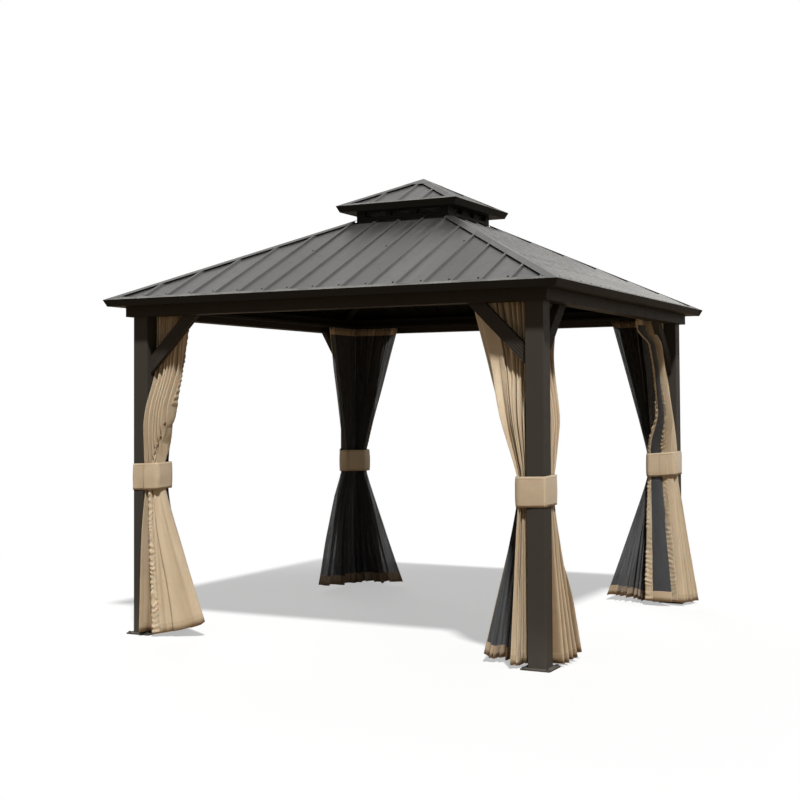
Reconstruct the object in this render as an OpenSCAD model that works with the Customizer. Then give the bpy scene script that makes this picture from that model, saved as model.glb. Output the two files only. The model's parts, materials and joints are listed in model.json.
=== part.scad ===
// Square metal gazebo with a two-tier ribbed roof, four posts on foot plates,
// and curtains and insect nets tied back at each corner.
// Millimetres, +Z up, front towards -Y, origin on the ground at the middle of the footprint.

/* [Roof] */
// Width of the square roof over its eaves
eave_w = 3000; // [2800:10:3400]
// Height of the eave's top edge over the underside of the beams
eave_rise = 105; // [95:1:130]
// Pitch of both roofs, in degrees
roof_pitch = 25.6; // [21:0.1:30]
// Thickness of the folded roof sheet
sheet_t = 1; // [0.8:0.1:2]
// Spacing of the standing ribs
rib_pitch = 174; // [140:1:220]
// Height of a rib over its pan
rib_h = 11; // [9:1:16]
// Width of a rib at its foot
rib_foot_w = 26; // [22:1:34]
// Width of a rib at its top
rib_top_w = 14; // [10:1:18]
// Distance of a panel's edge from the hip line
hip_gap = 12; // [8:1:20]

/* [Trim] */
// Width of the eave trim's flange on the roof
flange_w = 33; // [25:1:45]
// Depth of the eave trim's face, square to the roof
fascia_h = 46; // [40:1:56]
// Thickness of the folded eave trim
trim_t = 1.2; // [1:0.1:2]
// Open joint between the two halves of a trim or a beam
joint_gap = 0.8; // [0.4:0.1:0.9]
// Width of one wing of an eave corner's cover
cover_w = 40; // [30:1:60]
// Thickness of an eave corner's cover
cover_t = 1.2; // [0.8:0.1:2]
// Width of one wing of a hip cap
cap_wing = 42; // [34:1:60]
// Thickness of a hip cap
cap_t = 1; // [0.8:0.1:1.6]

/* [Upper roof] */
// Width of the upper roof over its eaves
upper_w = 872; // [820:1:960]
// Outside width of the vent below the upper roof
neck_w = 666; // [620:1:700]
// Height of the upper eave's top edge over the main roof at the vent
vent_h = 87; // [80:1:130]
// Thickness of the vent's frame
vent_t = 30; // [24:1:40]
// Height of the vent frame's closed kerb and of its head rail
vent_rail_h = 30; // [24:1:34]
// Width of an upright of the vent's frame
vent_upright_w = 28; // [20:1:40]
// Vent windows in each side
vent_windows = 3; // [2:1:4]
// Thickness of the net in the vent
vent_net_t = 1; // [0.8:0.1:2]
// Half width of the cap plate over the apex
apex_cap_half = 100; // [70:1:130]
// Width of the hub under the apex
hub_w = 50; // [40:1:70]
// Height of the hub under the apex
hub_h = 70; // [60:1:100]

/* [Frame] */
// Clear height under the beams
clear_h = 1973; // [1850:1:2200]
// Overhang of the eaves past the beams
overhang = 100; // [70:1:180]
// Width of a beam
beam_w = 100; // [90:1:110]
// Height of a beam
beam_h = 110; // [100:1:114]
// Wall of a beam
beam_wall = 2; // [1.5:0.1:4]
// Width of a post
post_w = 105; // [95:1:115]
// Wall of a post
post_wall = 2; // [1.5:0.1:4]
// Corner radius of a post
post_r = 4; // [2:0.5:8]
// Distance of a post's outer face behind the beam's outer face
post_inset = 34; // [20:1:40]
// Width of a foot plate
plate_w = 170; // [165:1:200]
// Thickness of a foot plate
plate_t = 8; // [5:1:12]
// Diameter of an anchor hole
anchor_d = 12; // [10:1:16]
// Distance from a plate's edge to the middle of an anchor hole
anchor_edge = 16; // [14:1:19]
// Corner radius of a foot plate
plate_r = 6; // [3:1:12]

/* [Braces] */
// Length of a brace's middle line along the post and along the beam
brace_leg = 300; // [240:1:380]
// Depth of a brace, square to its length
brace_depth = 74; // [60:1:90]
// Thickness of a brace
brace_t = 40; // [30:1:44]
// Flutes along each side of a brace
flute_count = 5; // [3:1:6]
// Width of a flute
flute_w = 8; // [4:1:9]
// Depth of a flute
flute_depth = 3; // [1:0.5:5]

/* [Rafters] */
// Width of a rafter
rafter_w = 50; // [44:1:60]
// Depth of a rafter, square to its length
rafter_d = 42; // [36:1:46]
// Width of an upper rafter
upper_rafter_w = 30; // [24:1:40]
// Depth of an upper rafter, square to its length
upper_rafter_d = 28; // [24:1:32]

/* [Curtains] */
// Width of one channel of the curtain track
track_w = 22; // [18:1:26]
// Height of the curtain track
track_h = 18; // [14:1:24]
// Wall of the curtain track
track_wall = 2; // [1.5:0.1:3]
// Slot along the underside of a track channel
track_slot = 8; // [6:1:10]
// Height of the track's underside over the beam's underside
track_lift = 36; // [30:1:60]
// Distance from the beam's inner face to the curtain's middle
curtain_depth = 36; // [32:1:42]
// Distance between the middles of curtain and net
net_depth = 52; // [50:1:60]
// Gathered width of a curtain at the track
curtain_top_w = 320; // [260:1:400]
// Gathered width of a curtain under the tie band
curtain_waist_w = 88; // [76:1:110]
// Spread of a curtain at its hem
curtain_hem_w = 330; // [240:1:420]
// Gathered width of a net at the track
net_top_w = 300; // [240:1:380]
// Gathered width of a net under the tie band
net_waist_w = 50; // [46:1:60]
// Spread of a net at its hem
net_hem_w = 250; // [200:1:340]
// Half depth of the folds from the track to the tie band
fold_half = 20; // [12:1:22]
// Half depth of a curtain's folds at its hem
curtain_hem_fold = 76; // [40:1:84]
// How far the middle of a curtain swings outward from the tie band to its hem
curtain_hem_out = 46; // [20:1:60]
// Half depth of a net's folds at its hem
net_hem_fold = 60; // [30:1:66]
// Thickness of gathered cloth
cloth_t = 8; // [5:1:10]
// Folds across a curtain or a net
fold_count = 7; // [4:1:9]
// Height of a hem over the ground
hem_h = 18; // [14:1:40]
// Height of a tie band's lower edge
band_z = 882; // [800:1:1000]
// Height of a tie band
band_h = 156; // [120:1:180]
// Thickness of a tie band
band_t = 3; // [2:0.5:5]

/* [Clearances] */
// Gap between pieces that seat on each other
seat = 0.3; // [0.2:0.1:0.5]
// Gap between cloth and what it hangs beside
cloth_gap = 2; // [1:0.5:4]

/* [Hidden] */

// Colours of the finishes
frame_grey = "#38332e";
roof_grey = "#696762";
trim_black = "#22201d";
cloth_khaki = "#c4ac86";
net_black = "#2a2b2c";
band_khaki = "#a6906f";

// Turns of the sides and corners about the middle: front and front right come first
turn_front = 0;
turn_right = 90;
turn_back = 180;
turn_left = 270;

// Half widths of the roof, the frame and the vent
eave_half = eave_w / 2;
frame_half = eave_half - overhang;
upper_half = upper_w / 2;
neck_half = neck_w / 2;
frame_inner = frame_half - beam_w;
post_outer = frame_half - post_inset;
post_mid = post_outer - post_w / 2;
post_inner = post_outer - post_w;

// Heights of the eaves, worked up from the beams' underside
rise = tan(roof_pitch);
beam_top = clear_h + beam_h;
eave_h = clear_h + eave_rise;
neck_h = eave_h + (eave_half - neck_half) * rise;
upper_h = neck_h + vent_h;

// The roof's layers, square to its slope and down from the cap's top face
pan_top = -cap_t - rib_h;
pan_under = pan_top - sheet_t;

// Reach of cutting shapes past everything they cut
far = 2 * (eave_w + clear_h);
arc_sides = 48;

// Height of a roof's layer n at the distance half from the middle
function layer_z(top_half, top_z, half, n) = top_z + (top_half - half) * rise + n / cos(roof_pitch);
function main_under(half) = layer_z(eave_half, eave_h, half, pan_under);
function upper_under(half) = layer_z(upper_half, upper_h, half, pan_under);

// Point of a front slope's section at s up the slope and n over its top face
function on_section(half, top_z, s, n) = [
    -half + s * cos(roof_pitch) - n * sin(roof_pitch),
    top_z + s * sin(roof_pitch) + n * cos(roof_pitch)
];

// Straight change from a to b as t goes from 0 to 1
function between(a, b, t) = a + (b - a) * t;

// Everything in front of the two diagonals, moved back by gap
module front_sector(gap) {
    translate([0, -gap, -far])
        linear_extrude(2 * far)
            polygon([[0, 0], [-far, -far], [far, -far]]);
}

// Bar along the front side with the section drawn in Y and Z
module front_bar(length) {
    rotate([90, 0, 90])
        linear_extrude(length, center = true)
            children();
}

// Sheet lying up a front slope from s_from on, with the section drawn in X and down from the top face
module up_slope(half, top_z, s_from, length) {
    translate([0, -half, top_z])
        rotate([roof_pitch - 90, 0, 0])
            translate([0, 0, s_from])
                linear_extrude(length)
                    children();
}

// Copies about the four sides
module each_side() {
    for (turn = [turn_front, turn_right, turn_back, turn_left])
        rotate(turn)
            children();
}

// Square outline with round corners
module rounded_square(width, radius) {
    flat = width - 2 * radius;
    square([width, flat], center = true);
    square([flat, width], center = true);
    for (x = [-1, 1], y = [-1, 1])
        translate([x * flat / 2, y * flat / 2])
            circle(radius, $fn = arc_sides);
}

// Square hollow post at the front right corner
module post() {
    color(frame_grey)
        translate([post_mid, -post_mid, plate_t])
            linear_extrude(clear_h - plate_t)
                difference() {
                    rounded_square(post_w, post_r);
                    rounded_square(post_w - 2 * post_wall, post_r / 2);
                }
}

// Foot plate with four anchor holes under the front right post
module foot_plate() {
    hole_at = plate_w / 2 - anchor_edge;
    color(frame_grey)
        translate([post_mid, -post_mid, 0])
            difference() {
                linear_extrude(plate_t)
                    rounded_square(plate_w, plate_r);
                for (x = [-1, 1], y = [-1, 1])
                    translate([x * hole_at, y * hole_at, -plate_t])
                        cylinder(d = anchor_d, h = 3 * plate_t, $fn = arc_sides);
            }
}

// Box beam over the front side, mitred at its ends and joined at its middle
module beam() {
    color(frame_grey)
        difference() {
            intersection() {
                front_bar(2 * frame_half)
                    translate([-frame_half, clear_h])
                        difference() {
                            square([beam_w, beam_h]);
                            translate([beam_wall, beam_wall])
                                square([beam_w - 2 * beam_wall, beam_h - 2 * beam_wall]);
                        }
                front_sector(joint_gap / 2);
            }
            translate([-joint_gap / 2, -far, 0])
                cube([joint_gap, far, far]);
        }
}

// Section of a brace: a bar with flutes along both of its sides
module fluted_section() {
    flute_step = brace_depth / flute_count;
    difference() {
        square([brace_depth, brace_t], center = true);
        for (i = [0 : flute_count - 1], side = [-1, 1])
            translate([(i + 0.5) * flute_step - brace_depth / 2, side * brace_t / 2])
                square([flute_w, 2 * flute_depth], center = true);
    }
}

// Pair of knee braces between the front posts and the front beam
module brace_pair() {
    color(frame_grey)
        for (side = [0, 1])
            mirror([side, 0, 0])
                intersection() {
                    translate([post_inner - brace_leg / 2, -post_mid, clear_h - brace_leg / 2])
                        rotate([0, -45, 0])
                            translate([0, 0, -brace_leg])
                                linear_extrude(2 * brace_leg)
                                    fluted_section();
                    translate([0, -post_outer, 0])
                        cube([post_inner, post_w, clear_h]);
                }
}

// Folded trim along one eave, from its flange on the roof to its return under the eave
module eave_trim_bar(half, top_z, return_half) {
    face_top = -cap_t;
    foot = on_section(half, top_z, 0, -fascia_h);
    return_y = -return_half - seat;
    inner_n = (foot[1] + trim_t - top_z - trim_t * sin(roof_pitch)) / cos(roof_pitch);
    color(trim_black)
        difference() {
            intersection() {
                front_bar(2 * half)
                    polygon([
                        on_section(half, top_z, flange_w, face_top),
                        on_section(half, top_z, -face_top * rise, face_top),
                        foot,
                        [return_y, foot[1]],
                        [return_y, foot[1] + trim_t],
                        on_section(half, top_z, trim_t, inner_n),
                        on_section(half, top_z, trim_t, face_top - trim_t),
                        on_section(half, top_z, flange_w, face_top - trim_t)
                    ]);
                front_sector(joint_gap / 2);
            }
            translate([-joint_gap / 2, -far, 0])
                cube([joint_gap, far, far]);
        }
}

// Cover folded over the mitre of the eave trims at the front right corner
module eave_corner_cover() {
    color(trim_black)
        for (turn = [0, 1])
            mirror([turn, turn, 0])
                intersection() {
                    front_bar(2 * eave_w)
                        polygon([
                            on_section(eave_half, eave_h, -seat, -cap_t),
                            on_section(eave_half, eave_h, -seat, -fascia_h),
                            on_section(eave_half, eave_h, -seat - cover_t, -fascia_h),
                            on_section(eave_half, eave_h, -seat - cover_t, -cap_t)
                        ]);
                    front_sector(0);
                    translate([eave_half - cover_w, -far, 0])
                        cube([far, far, far]);
                }
}

// Trim along the main roof's front eave
module main_trim() {
    eave_trim_bar(eave_half, eave_h, frame_half);
}

// Section of a roof sheet: flat pans with hollow standing ribs
module ribbed_section(half) {
    ribs = floor((half - rib_foot_w) / rib_pitch);
    inset = sheet_t * 0.8;
    upper_line = [
        for (k = [-ribs : ribs])
            for (p = [[-rib_foot_w, 0], [-rib_top_w, rib_h], [rib_top_w, rib_h], [rib_foot_w, 0]])
                [k * rib_pitch + p[0] / 2, -(pan_top + p[1])]
    ];
    lower_line = [
        for (k = [ribs : -1 : -ribs])
            for (p = [[rib_foot_w, 0], [rib_top_w, rib_h], [-rib_top_w, rib_h], [-rib_foot_w, 0]])
                [k * rib_pitch + p[0] / 2 - sign(p[0]) * inset, -(pan_under + p[1])]
    ];
    polygon(concat(
        [[-half, -pan_top]], upper_line, [[half, -pan_top]],
        [[half, -pan_under]], lower_line, [[-half, -pan_under]]
    ));
}

// Ribbed slope over the front side, from its eave trim to the distance inner_half from the middle
module slope_sheet(half, top_z, inner_half) {
    rib_start = flange_w + seat;
    pan_start = trim_t + seat;
    length = half / cos(roof_pitch);
    color(roof_grey)
        intersection() {
            union() {
                up_slope(half, top_z, pan_start, rib_start + sheet_t - pan_start)
                    translate([-half, -pan_top])
                        square([2 * half, sheet_t]);
                up_slope(half, top_z, rib_start, length)
                    ribbed_section(half);
            }
            front_sector(hip_gap);
            translate([-far, -far, 0])
                cube([2 * far, far - inner_half, 2 * far]);
        }
}

// Main roof's front slope, up to the vent
module main_slope() {
    slope_sheet(eave_half, eave_h, neck_half + seat);
}

// One wing of the hip cap on the front slope, along its right hip
module cap_wing_strip(half, top_z, inner_half) {
    length = half / cos(roof_pitch);
    wing_gap = cap_wing / cos(45);
    intersection() {
        up_slope(half, top_z, 0, length)
            square([half, cap_t]);
        difference() {
            front_sector(0);
            front_sector(wing_gap);
        }
        translate([inner_half, -half, 0])
            cube([half, half - inner_half, far]);
    }
}

// Folded cap along the front right hip
module hip_cap(half, top_z, inner_half) {
    color(roof_grey) {
        cap_wing_strip(half, top_z, inner_half);
        mirror([1, 1, 0])
            cap_wing_strip(half, top_z, inner_half);
    }
}

// Front rafter under the middle of the slope, with its foot on the beam and its head at the vent
module common_rafter() {
    foot_outer = frame_half - joint_gap;
    head = neck_half + seat;
    deep = rafter_d / cos(roof_pitch);
    color(frame_grey)
        front_bar(rafter_w)
            polygon([
                [-foot_outer, main_under(foot_outer)],
                [-head, main_under(head)],
                [-head, main_under(head) - deep],
                [-frame_inner, main_under(frame_inner) - deep],
                [-frame_inner, beam_top],
                [-foot_outer, beam_top]
            ]);
}

// Bar along the front right diagonal with its section drawn in distance from the middle and Z
module diagonal_bar(width) {
    rotate([90, 0, -45])
        linear_extrude(width, center = true)
            children();
}

// Drop of a flat-topped diagonal bar so that its top edges meet both slopes
function hip_drop(width) = width / 2 * cos(45) * rise;

// Rafter under the front right hip, notched round the vent's corner
module hip_rafter() {
    foot_outer = frame_half - joint_gap - rafter_w * cos(45);
    drop = hip_drop(rafter_w);
    deep = rafter_d / cos(roof_pitch);
    head = neck_half - rafter_w;
    across = sqrt(2);
    color(frame_grey)
        difference() {
            diagonal_bar(rafter_w)
                polygon([
                    [across * foot_outer, main_under(foot_outer) - drop],
                    [across * head, main_under(head) - drop],
                    [across * head, main_under(head) - drop - deep],
                    [across * frame_inner, main_under(frame_inner) - drop - deep],
                    [across * frame_inner, beam_top],
                    [across * foot_outer, beam_top]
                ]);
            translate([-neck_half - seat, -neck_half - seat, 0])
                cube([neck_w + 2 * seat, neck_w + 2 * seat, far]);
        }
}

// Heights of the vent's frame
vent_foot = main_under(neck_half) - rafter_d / cos(roof_pitch) - hip_drop(rafter_w);
vent_head = upper_under(neck_half) - seat;
kerb_top = main_under(neck_half) + vent_rail_h;
head_rail = vent_head - vent_rail_h;

// Front side of the vent: a kerb and a head rail with uprights between them
module vent_side() {
    window_step = (neck_w - 2 * vent_t - vent_upright_w) / vent_windows;
    window_w = window_step - vent_upright_w;
    first = -neck_half + vent_t + vent_upright_w;
    color(trim_black)
        intersection() {
            translate([-neck_half, -neck_half, vent_foot])
                difference() {
                    cube([neck_w, vent_t, vent_head - vent_foot]);
                    for (i = [0 : vent_windows - 1])
                        translate([first + i * window_step + neck_half, -vent_t, kerb_top - vent_foot])
                            cube([window_w, 3 * vent_t, head_rail - kerb_top]);
                }
            front_sector(joint_gap / 2);
        }
}

// Sheet of net on the inner face of the vent's front side
module vent_net_side() {
    inner = neck_half - vent_t;
    lap = vent_rail_h / 4;
    color(net_black)
        intersection() {
            translate([-inner, -inner, kerb_top - lap])
                cube([2 * inner, vent_net_t, head_rail - kerb_top + 2 * lap]);
            front_sector(joint_gap / 2);
        }
}

// Hub under the apex, which the upper rafters meet
hub_half = hub_w / 2;
hub_top = upper_under(hub_half);
module apex_hub() {
    color(frame_grey)
        translate([-hub_half, -hub_half, hub_top - hub_h])
            cube([hub_w, hub_w, hub_h]);
}

// Upper rafter along the front right diagonal, from the vent's inner corner to the hub
module upper_rafter() {
    drop = hip_drop(upper_rafter_w);
    deep = upper_rafter_d / cos(roof_pitch);
    inner = neck_half - vent_t;
    across = sqrt(2);
    color(frame_grey)
        difference() {
            intersection() {
                diagonal_bar(upper_rafter_w)
                    polygon([
                        [across * upper_half, upper_under(upper_half) - drop],
                        [0, upper_under(0) - drop],
                        [0, upper_under(0) - drop - deep],
                        [across * upper_half, upper_under(upper_half) - drop - deep]
                    ]);
                translate([0, -inner, 0])
                    cube([inner, inner, far]);
            }
            translate([-hub_half - seat, -hub_half - seat, 0])
                cube([hub_w + 2 * seat, hub_w + 2 * seat, far]);
        }
}

// Plate folded over the four upper hip caps at the apex
module apex_cap() {
    color(roof_grey)
        each_side()
            intersection() {
                up_slope(upper_half, upper_h, 0, upper_half / cos(roof_pitch) + apex_cap_half)
                    translate([-upper_half, -cap_t])
                        square([2 * upper_half, cap_t]);
                front_sector(0);
                translate([-apex_cap_half, -apex_cap_half, 0])
                    cube([2 * apex_cap_half, apex_cap_half, far]);
            }
}

// Curtain track along the front beam's inner face: a shelf with two slotted channels
track_z = clear_h + track_lift;
curtain_mid = frame_inner - curtain_depth;
net_mid = curtain_mid - net_depth;
module track() {
    shelf_end = net_mid - track_w / 2;
    channel_in = track_w - 2 * track_wall;
    color(trim_black)
        intersection() {
            front_bar(2 * frame_inner)
                difference() {
                    translate([-frame_inner, track_z])
                        square([frame_inner - shelf_end, track_h]);
                    for (mid = [curtain_mid, net_mid]) {
                        translate([-mid - channel_in / 2, track_z + track_wall])
                            square([channel_in, track_h - 2 * track_wall]);
                        translate([-mid - track_slot / 2, track_z - track_wall])
                            square([track_slot, 3 * track_wall]);
                    }
                    translate([-curtain_mid + track_w / 2, track_z - track_wall])
                        square([net_depth - track_w, track_h]);
                }
            front_sector(joint_gap / 2);
        }
}

// Middle of a curtain's folds at its hem, and of a net's, clear of the curtain's folds there
curtain_hem_mid = curtain_mid + curtain_hem_out;
net_hem_mid = curtain_hem_mid - curtain_hem_fold - net_hem_fold - cloth_t - 2 * cloth_gap;

// Heights of the cloth's rings: track, tie band and hem, with a few between
cloth_top = track_z - seat;
band_top = band_z + band_h;
ring_heights = concat(
    [for (t = [0 : 0.25 : 1]) between(hem_h, band_z, t)],
    [for (t = [0 : 0.25 : 1]) between(band_top, cloth_top, t)]
);

// Size at the height z of something with a hem, a waist in the tie band and a top
function at_height(z, hem, waist, top) =
    z < band_z ? between(hem, waist, (z - hem_h) / (band_z - hem_h))
    : z > band_top ? between(waist, top, (z - band_top) / (cloth_top - band_top))
    : waist;

// Ring of a folded sheet on the front side: down its outer face and back up its inner face
function cloth_ring(z, mid, width, fold) =
    let (count = 2 * fold_count, start = mid - fold - cloth_t / 2 - cloth_gap)
    concat(
        [for (j = [0 : count])
            [start - width * j / count, -(mid + (j % 2 == 0 ? fold : -fold) + cloth_t / 2), z]],
        [for (j = [count : -1 : 0])
            [start - width * j / count, -(mid + (j % 2 == 0 ? fold : -fold) - cloth_t / 2), z]]
    );

// Folded sheet gathered beside the front right post, on the front side
module folded_sheet(mid, hem_mid, hem_fold, top_w, waist_w, hem_w) {
    rings = len(ring_heights);
    count = 2 * fold_count;
    size = 2 * (count + 1);
    points = [
        for (z = ring_heights)
            let (width = at_height(z, hem_w, waist_w, top_w))
            let (fold = at_height(z, hem_fold, fold_half, fold_half))
            each cloth_ring(z, at_height(z, hem_mid, mid, mid), width, fold)
    ];
    walls = [
        for (i = [0 : rings - 2], j = [0 : size - 1])
            let (a = i * size + j, b = i * size + (j + 1) % size)
            each [[a, b, a + size], [b, b + size, a + size]]
    ];
    last = (rings - 1) * size;
    hem_faces = [
        for (j = [0 : count - 1])
            let (a = j, b = j + 1, c = size - 2 - j, d = size - 1 - j)
            each [[a, c, b], [a, d, c]]
    ];
    top_faces = [
        for (j = [0 : count - 1])
            let (a = last + j, b = last + j + 1, c = last + size - 2 - j, d = last + size - 1 - j)
            each [[a, b, c], [a, c, d]]
    ];
    polyhedron(points, concat(walls, hem_faces, top_faces));
}

// A corner's two sheets: one on the front side and its mirror image on the right side
module corner_pair() {
    children();
    mirror([1, 1, 0])
        children();
}

// Curtains of the front right corner
module curtain_pair() {
    color(cloth_khaki)
        corner_pair()
            folded_sheet(curtain_mid, curtain_hem_mid, curtain_hem_fold,
                curtain_top_w, curtain_waist_w, curtain_hem_w);
}

// Insect nets of the front right corner
module net_pair() {
    color(net_black)
        corner_pair()
            folded_sheet(net_mid, net_hem_mid, net_hem_fold, net_top_w, net_waist_w, net_hem_w);
}

// Outline of the tie band round the front right post and both gathered sides, let out by more
function band_outline(more) =
    let (
        outer = post_outer + seat + more,
        curtain_out = curtain_mid + fold_half + cloth_t / 2 + seat + more,
        net_in = net_mid - fold_half - cloth_t / 2 - cloth_gap - more,
        curtain_end = curtain_mid - fold_half - cloth_t / 2 - cloth_gap - curtain_waist_w,
        net_end = net_mid - fold_half - cloth_t / 2 - cloth_gap - net_waist_w,
        side_end = min(curtain_end, net_end) - seat - more,
        half_outline = [[outer, -outer], [post_inner - fold_half, -outer],
            [side_end, -curtain_out], [side_end, -net_in]]
    )
    concat(half_outline, [for (i = [3 : -1 : 1]) [-half_outline[i][1], -half_outline[i][0]]]);

// Cloth band that ties the front right corner back
module tie_band() {
    color(band_khaki)
        translate([0, 0, band_z])
            linear_extrude(band_h)
                difference() {
                    polygon(band_outline(band_t));
                    polygon(band_outline(0));
                }
}

rotate(turn_front) post();  // post_front_right
rotate(turn_right) post();  // post_back_right
rotate(turn_back) post();  // post_back_left
rotate(turn_left) post();  // post_front_left
each_side() foot_plate();  // foot_plates
rotate(turn_front) beam();  // beam_front
rotate(turn_right) beam();  // beam_right
rotate(turn_back) beam();  // beam_back
rotate(turn_left) beam();  // beam_left
rotate(turn_front) brace_pair();  // braces_front
rotate(turn_right) brace_pair();  // braces_right
rotate(turn_back) brace_pair();  // braces_back
rotate(turn_left) brace_pair();  // braces_left
rotate(turn_front) main_trim();  // eave_trim_front
rotate(turn_right) main_trim();  // eave_trim_right
rotate(turn_back) main_trim();  // eave_trim_back
rotate(turn_left) main_trim();  // eave_trim_left
rotate(turn_front) main_slope();  // roof_slope_front
rotate(turn_right) main_slope();  // roof_slope_right
rotate(turn_back) main_slope();  // roof_slope_back
rotate(turn_left) main_slope();  // roof_slope_left
each_side() eave_corner_cover();  // eave_corner_covers
each_side() hip_cap(eave_half, eave_h, neck_half + seat);  // hip_caps
each_side() hip_rafter();  // hip_rafters
each_side() common_rafter();  // common_rafters
each_side() vent_side();  // vent_frame
each_side() vent_net_side();  // vent_net
each_side() slope_sheet(upper_half, upper_h, 0);  // upper_slopes
each_side() eave_trim_bar(upper_half, upper_h, neck_half);  // upper_eave_trim
each_side() hip_cap(upper_half, upper_h, joint_gap);  // upper_hip_caps
each_side() upper_rafter();  // upper_rafters
apex_hub();
apex_cap();
each_side() track();  // curtain_tracks
rotate(turn_front) curtain_pair();  // curtain_front_right
rotate(turn_right) curtain_pair();  // curtain_back_right
rotate(turn_back) curtain_pair();  // curtain_back_left
rotate(turn_left) curtain_pair();  // curtain_front_left
rotate(turn_front) net_pair();  // net_front_right
rotate(turn_right) net_pair();  // net_back_right
rotate(turn_back) net_pair();  // net_back_left
rotate(turn_left) net_pair();  // net_front_left
rotate(turn_front) tie_band();  // tie_band_front_right
rotate(turn_right) tie_band();  // tie_band_back_right
rotate(turn_back) tie_band();  // tie_band_back_left
rotate(turn_left) tie_band();  // tie_band_front_left
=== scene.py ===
# Metal gazebo with a ribbed two-tier roof, khaki curtains and insect nets: finishes, cloth and fixings.
import json
import math

import bpy
import numpy as np
from mathutils import Matrix, Vector


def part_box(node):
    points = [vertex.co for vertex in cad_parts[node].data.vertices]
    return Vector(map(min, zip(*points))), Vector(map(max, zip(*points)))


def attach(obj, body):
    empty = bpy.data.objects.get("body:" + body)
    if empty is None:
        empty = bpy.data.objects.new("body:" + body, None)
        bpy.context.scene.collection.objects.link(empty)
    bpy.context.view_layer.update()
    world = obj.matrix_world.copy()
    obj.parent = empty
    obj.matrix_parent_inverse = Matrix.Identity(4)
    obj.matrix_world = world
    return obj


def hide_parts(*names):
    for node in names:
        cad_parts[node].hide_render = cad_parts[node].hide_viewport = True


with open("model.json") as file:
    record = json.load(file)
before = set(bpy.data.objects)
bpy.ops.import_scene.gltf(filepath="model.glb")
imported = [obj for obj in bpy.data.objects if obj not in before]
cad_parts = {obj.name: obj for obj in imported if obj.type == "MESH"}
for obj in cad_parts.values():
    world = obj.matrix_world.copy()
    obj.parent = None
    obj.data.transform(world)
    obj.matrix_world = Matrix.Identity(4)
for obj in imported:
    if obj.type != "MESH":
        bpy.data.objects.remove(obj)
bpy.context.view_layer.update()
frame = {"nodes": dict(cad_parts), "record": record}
scene = bpy.context.scene
nodes = frame["nodes"]
slotOf = {part["node"]: part["material_slot"] for part in frame["record"]["subparts"]}
print("frame loaded:", len(nodes), "nodes")

# The camera turns left by yaw, up by pitch and about its own axis by roll
cameraSet = dict(
    place=(3.920, -8.075, 1.437), yawDeg=26.961, pitchDeg=1.757, rollDeg=-0.343,
    lens=60.16, sensor=36.0, shiftY=-0.05,
)


def makeCamera(s):
    yaw, pitch, roll = (math.radians(s[k]) for k in ("yawDeg", "pitchDeg", "rollDeg"))
    ahead = Vector((-math.sin(yaw) * math.cos(pitch), math.cos(yaw) * math.cos(pitch), math.sin(pitch)))
    level = Vector((math.cos(yaw), math.sin(yaw), 0))
    upward = level.cross(ahead)
    right = level * math.cos(roll) + upward * math.sin(roll)
    top = upward * math.cos(roll) - level * math.sin(roll)
    data = bpy.data.cameras.new("camera")
    data.lens, data.sensor_width, data.shift_y = s["lens"], s["sensor"], s["shiftY"]
    camera = bpy.data.objects.new("camera", data)
    turn = Matrix((right, top, -ahead)).transposed().to_4x4()
    camera.matrix_world = Matrix.Translation(s["place"]) @ turn
    scene.collection.objects.link(camera)
    scene.camera = camera


makeCamera(cameraSet)
print("camera set")


# Short forms for shader nodes: each input, by name or number, takes a value or another node's output
def feed(tree, node, inputs):
    for key, value in inputs.items():
        if isinstance(value, bpy.types.NodeSocket):
            tree.links.new(value, node.inputs[key])
        else:
            node.inputs[key].default_value = value
    return node


def put(tree, kind, inputs=None, **props):
    node = tree.nodes.new(kind)
    for name, value in props.items():
        setattr(node, name, value)
    return feed(tree, node, inputs or {})


def calc(tree, how, *values, clamp=False):
    return put(tree, "ShaderNodeMath", dict(enumerate(values)), operation=how, use_clamp=clamp).outputs[0]


# A straight line: value times slope plus start
def linear(tree, value, slope, start, clamp=False):
    return calc(tree, "MULTIPLY_ADD", value, slope, start, clamp=clamp)


# A ramp from 0 at low to 1 at high, smooth at both ends
def ramp(tree, value, low, high, outLow=0.0, outHigh=1.0):
    spans = {"Value": value, "From Min": low, "From Max": high, "To Min": outLow, "To Max": outHigh}
    return put(tree, "ShaderNodeMapRange", spans, interpolation_type="SMOOTHSTEP").outputs["Result"]


def noise(tree, vector, scale, detail=3.0, rough=0.55):
    sockets = {"Vector": vector, "Scale": scale, "Detail": detail, "Roughness": rough}
    return put(tree, "ShaderNodeTexNoise", sockets).outputs["Fac"]


def stretch(tree, vector, scale):
    return put(tree, "ShaderNodeMapping", {"Vector": vector, "Scale": scale}).outputs[0]


def split(tree, vector):
    return put(tree, "ShaderNodeSeparateXYZ", {0: vector}).outputs


def faceNormal(tree):
    return put(tree, "ShaderNodeNewGeometry").outputs["Normal"]


# Inputs 6 and 7 of a mix node are its two colours
def mixColour(tree, factor, first, second, how="MIX"):
    sockets = {"Factor": factor, 6: first, 7: second}
    return put(tree, "ShaderNodeMix", sockets, data_type="RGBA", blend_type=how).outputs[2]


# A colour times one tone
def toneColour(tree, colour, tone):
    grey = put(tree, "ShaderNodeCombineColor", {0: tone, 1: tone, 2: tone}).outputs[0]
    return mixColour(tree, 1.0, colour, grey, "MULTIPLY")


# A shader group with one vector input; the rest are floats
def newGroup(name, vector, floats, outputs):
    group = bpy.data.node_groups.new(name, "ShaderNodeTree")
    group.interface.new_socket(vector, in_out="INPUT", socket_type="NodeSocketVector")
    for way, labels in (("INPUT", floats), ("OUTPUT", outputs)):
        for label in labels:
            group.interface.new_socket(label, in_out=way, socket_type="NodeSocketFloat")
    return group, put(group, "NodeGroupInput").outputs, put(group, "NodeGroupOutput")


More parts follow.
